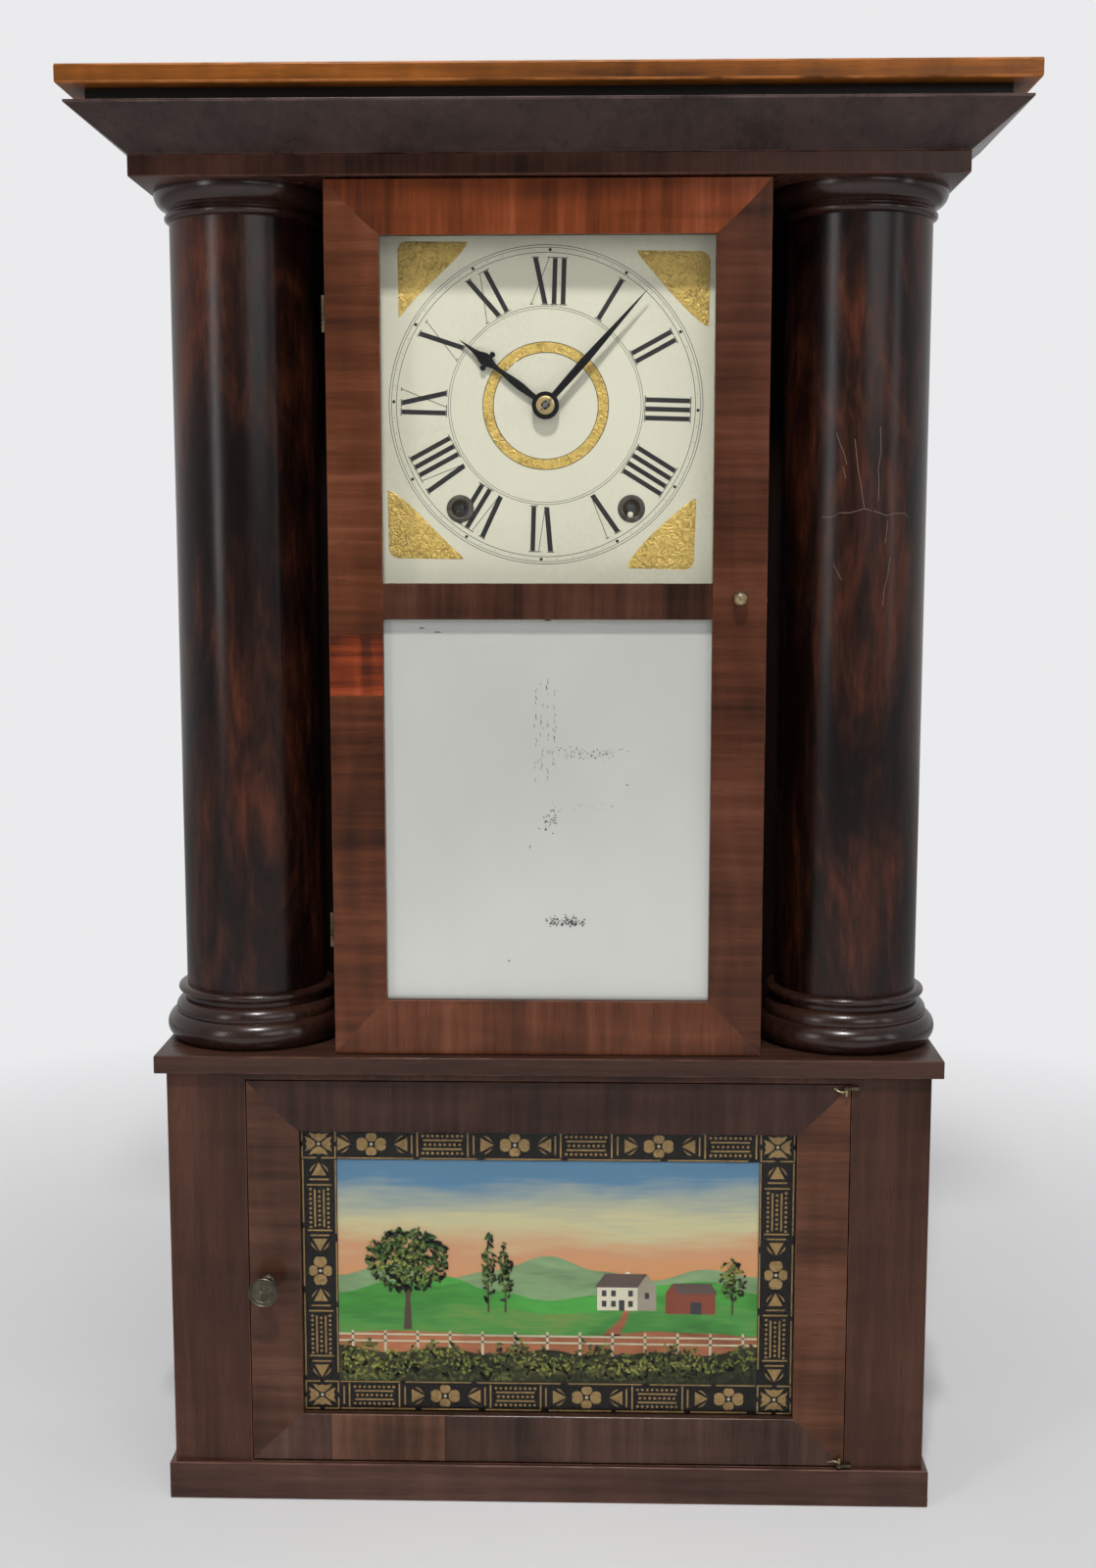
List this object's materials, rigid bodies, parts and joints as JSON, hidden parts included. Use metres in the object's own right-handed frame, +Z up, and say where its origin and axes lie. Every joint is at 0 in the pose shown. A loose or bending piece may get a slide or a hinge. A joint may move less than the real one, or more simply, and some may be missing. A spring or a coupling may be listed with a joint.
{
  "type": "hollow column shelf clock",
  "caption": "Weight-driven shelf clock with full-round hollow columns, a bevelled cornice, a glazed and mirrored upper door, a tablet door below and a striking movement.",
  "frame": {"origin": "middle of the underside of the case, half way between the cap board's front edge and the back", "axes": "+X to the viewer's right, -Y out of the dial towards the viewer, +Z up"},
  "size_m": [0.566, 0.1574, 0.89],
  "materials": {
    "light_wood": "satin",
    "dark_wood": "satin",
    "mahogany_dark": "polished",
    "mahogany_crotch": "high gloss",
    "mahogany_red": "polished",
    "inner_wood": "bare",
    "dial_paint": "painted",
    "clear_glass": "clear",
    "silvered_glass": "worn silvering",
    "painted_glass": "painted behind",
    "brass": "worn",
    "movement_brass": "brushed",
    "steel": "drawn wire",
    "blued_steel": "black",
    "cast_iron": "as cast",
    "cord": "twisted",
    "pulley_wood": "turned"
  },
  "bodies": {
    "case": {"cap_board": "light_wood", "cap_cleats": "dark_wood", "cornice": "mahogany_dark", "frieze_board": "mahogany_dark", "capitals": "mahogany_dark", "columns": "mahogany_crotch", "column_feet": "mahogany_dark", "trunk_sides": "mahogany_red", "back_boards": "inner_wood", "plinth_board": "mahogany_dark", "base_carcass": "inner_wood", "base_front": "mahogany_red", "base_skirt": "mahogany_dark", "dial_board": "dial_paint", "dial_grommets": "brass", "inner_framing": "inner_wood", "front_plate": "movement_brass", "back_plate": "movement_brass", "plate_pillars": "movement_brass", "pendulum_cock": "brass", "gong_base": "cast_iron", "gong": "steel", "pulley_axles": "steel", "hinge_fixings": "brass", "time_cord": "cord", "strike_cord": "cord"},
    "upper_door": {"upper_door_frame": "mahogany_red", "dial_glass": "clear_glass", "mirror_glass": "silvered_glass", "mirror_back": "inner_wood", "butt_leaves": "brass"},
    "upper_knob": {"upper_knob": "brass"},
    "lower_door": {"lower_door_frame": "mahogany_red", "tablet_glass": "painted_glass", "hinge_pins": "brass"},
    "lower_knob": {"lower_knob": "brass"},
    "minute_hand": {"minute_hand": "blued_steel", "cannon_wheel": "movement_brass"},
    "hour_hand": {"hour_hand": "blued_steel", "hour_wheel": "movement_brass"},
    "minute_wheel": {"minute_wheel": "movement_brass"},
    "time_great_wheel": {"time_great_wheel": "movement_brass"},
    "time_drum": {"time_drum": "movement_brass"},
    "second_wheel": {"second_wheel": "movement_brass"},
    "third_wheel": {"third_wheel": "movement_brass"},
    "escape_wheel": {"escape_wheel": "movement_brass"},
    "verge": {"verge": "steel"},
    "pendulum": {"pendulum_rod": "steel", "pendulum_bob": "brass"},
    "strike_great_wheel": {"strike_great_wheel": "movement_brass"},
    "strike_drum": {"strike_drum": "movement_brass"},
    "pin_wheel": {"pin_wheel": "movement_brass"},
    "fly": {"fly": "movement_brass"},
    "hammer": {"hammer": "steel"},
    "time_weight": {"time_weight": "cast_iron"},
    "strike_weight": {"strike_weight": "cast_iron"},
    "time_pulley_inner": {"time_pulley_inner": "pulley_wood"},
    "time_pulley_outer": {"time_pulley_outer": "pulley_wood"},
    "strike_pulley_inner": {"strike_pulley_inner": "pulley_wood"},
    "strike_pulley_outer": {"strike_pulley_outer": "pulley_wood"}
  },
  "joints": [
    {"name": "upper_door_swing", "type": "hinge", "parent": "case", "child": "upper_door", "pos_m": [-0.1364, -0.02705, 0.56425], "axis": [0, 0, -1], "range_deg": [0, 100]},
    {"name": "upper_knob_turn", "type": "hinge", "parent": "upper_door", "child": "upper_knob", "pos_m": [0.1175, -0.04125, 0.583], "axis": [0, -1, 0], "range_deg": [0, 90]},
    {"name": "lower_door_swing", "type": "hinge", "parent": "case", "child": "lower_door", "pos_m": [0.188, -0.04565, 0.1522], "axis": [0, 0, 1], "range_deg": [0, 110]},
    {"name": "lower_knob_turn", "type": "hinge", "parent": "lower_door", "child": "lower_knob", "pos_m": [-0.1795, -0.04325, 0.1457], "axis": [0, -1, 0], "range_deg": [0, 90]},
    {"name": "minute_hand_turn", "type": "hinge", "parent": "case", "child": "minute_hand", "pos_m": [-0.0015, 0.01625, 0.70025], "axis": [0, 1, 0], "continuous": true},
    {"name": "minute_wheel_turn", "type": "hinge", "parent": "case", "child": "minute_wheel", "pos_m": [0.02212, 0.01625, 0.66797], "axis": [0, 1, 0], "continuous": true},
    {"name": "hour_hand_turn", "type": "hinge", "parent": "case", "child": "hour_hand", "pos_m": [-0.0015, 0.01625, 0.70025], "axis": [0, 1, 0], "continuous": true},
    {"name": "third_wheel_turn", "type": "hinge", "parent": "case", "child": "third_wheel", "pos_m": [0.01479, 0.01625, 0.69706], "axis": [0, 1, 0], "continuous": true},
    {"name": "second_wheel_turn", "type": "hinge", "parent": "case", "child": "second_wheel", "pos_m": [0.02212, 0.01625, 0.66797], "axis": [0, 1, 0], "continuous": true},
    {"name": "time_great_turn", "type": "hinge", "parent": "case", "child": "time_great_wheel", "pos_m": [0.0515, 0.01625, 0.63775], "axis": [0, 1, 0], "continuous": true},
    {"name": "escape_wheel_turn", "type": "hinge", "parent": "case", "child": "escape_wheel", "pos_m": [-0.0015, 0.01625, 0.71475], "axis": [0, 1, 0], "continuous": true},
    {"name": "pendulum_swing", "type": "hinge", "parent": "case", "child": "pendulum", "pos_m": [-0.0015, 0.01625, 0.73875], "axis": [0, 1, 0], "range_deg": [-3, 3]},
    {"name": "verge_rock", "type": "hinge", "parent": "case", "child": "verge", "pos_m": [-0.0015, 0.01625, 0.73875], "axis": [0, 1, 0], "range_deg": [-3, 3]},
    {"name": "time_weight_rise", "type": "slide", "parent": "case", "child": "time_weight", "axis": [0, 0, 1], "range_m": [0, 0.35], "deforming": ["time_cord"]},
    {"name": "time_drum_turn", "type": "hinge", "parent": "case", "child": "time_drum", "pos_m": [0.0515, 0.01625, 0.63775], "axis": [0, 1, 0], "range_deg": [-5, 1003]},
    {"name": "time_pulley_inner_turn", "type": "hinge", "parent": "case", "child": "time_pulley_inner", "pos_m": [0.0814, 0.01625, 0.8449], "axis": [0, 1, 0], "range_deg": [-2052, 5]},
    {"name": "time_pulley_outer_turn", "type": "hinge", "parent": "case", "child": "time_pulley_outer", "pos_m": [0.1834, 0.01625, 0.8449], "axis": [0, 1, 0], "range_deg": [-2052, 5]},
    {"name": "strike_weight_rise", "type": "slide", "parent": "case", "child": "strike_weight", "axis": [0, 0, 1], "range_m": [0, 0.35], "deforming": ["strike_cord"]},
    {"name": "strike_drum_turn", "type": "hinge", "parent": "case", "child": "strike_drum", "pos_m": [-0.0545, 0.01625, 0.63775], "axis": [0, 1, 0], "range_deg": [-1003, 5]},
    {"name": "strike_pulley_inner_turn", "type": "hinge", "parent": "case", "child": "strike_pulley_inner", "pos_m": [-0.0844, 0.01625, 0.8449], "axis": [0, 1, 0], "range_deg": [-5, 2052]},
    {"name": "strike_pulley_outer_turn", "type": "hinge", "parent": "case", "child": "strike_pulley_outer", "pos_m": [-0.1834, 0.01625, 0.8449], "axis": [0, 1, 0], "range_deg": [-5, 2052]},
    {"name": "pin_wheel_turn", "type": "hinge", "parent": "case", "child": "pin_wheel", "pos_m": [-0.06037, 0.01625, 0.67949], "axis": [0, 1, 0], "continuous": true},
    {"name": "strike_great_turn", "type": "hinge", "parent": "case", "child": "strike_great_wheel", "pos_m": [-0.0545, 0.01625, 0.63775], "axis": [0, 1, 0], "continuous": true},
    {"name": "fly_turn", "type": "hinge", "parent": "case", "child": "fly", "pos_m": [-0.05516, 0.01625, 0.70903], "axis": [0, 1, 0], "continuous": true},
    {"name": "hammer_lift", "type": "hinge", "parent": "case", "child": "hammer", "pos_m": [-0.09437, 0.01625, 0.69249], "axis": [0, 1, 0], "range_deg": [0, 8], "stiffness_Nm_per_rad": 0.03, "springref_deg": -20.05}
  ],
  "couplings": [
    {"joint": "minute_wheel_turn", "follows": "minute_hand_turn", "ratio": -1},
    {"joint": "hour_hand_turn", "follows": "minute_hand_turn", "ratio": 0.083333},
    {"joint": "second_wheel_turn", "follows": "third_wheel_turn", "ratio": -0.11111},
    {"joint": "time_great_turn", "follows": "third_wheel_turn", "ratio": 0.010582},
    {"joint": "escape_wheel_turn", "follows": "third_wheel_turn", "ratio": -8.25},
    {"joint": "verge_rock", "follows": "pendulum_swing", "ratio": 1},
    {"joint": "time_drum_turn", "follows": "time_weight_rise", "rad_per_m": 49.751},
    {"joint": "time_pulley_inner_turn", "follows": "time_weight_rise", "rad_per_m": -102.04},
    {"joint": "time_pulley_outer_turn", "follows": "time_weight_rise", "rad_per_m": -102.04},
    {"joint": "strike_drum_turn", "follows": "strike_weight_rise", "rad_per_m": -49.751},
    {"joint": "strike_pulley_inner_turn", "follows": "strike_weight_rise", "rad_per_m": 102.04},
    {"joint": "strike_pulley_outer_turn", "follows": "strike_weight_rise", "rad_per_m": 102.04},
    {"joint": "strike_great_turn", "follows": "pin_wheel_turn", "ratio": -0.095238},
    {"joint": "fly_turn", "follows": "pin_wheel_turn", "ratio": -9}
  ]
}
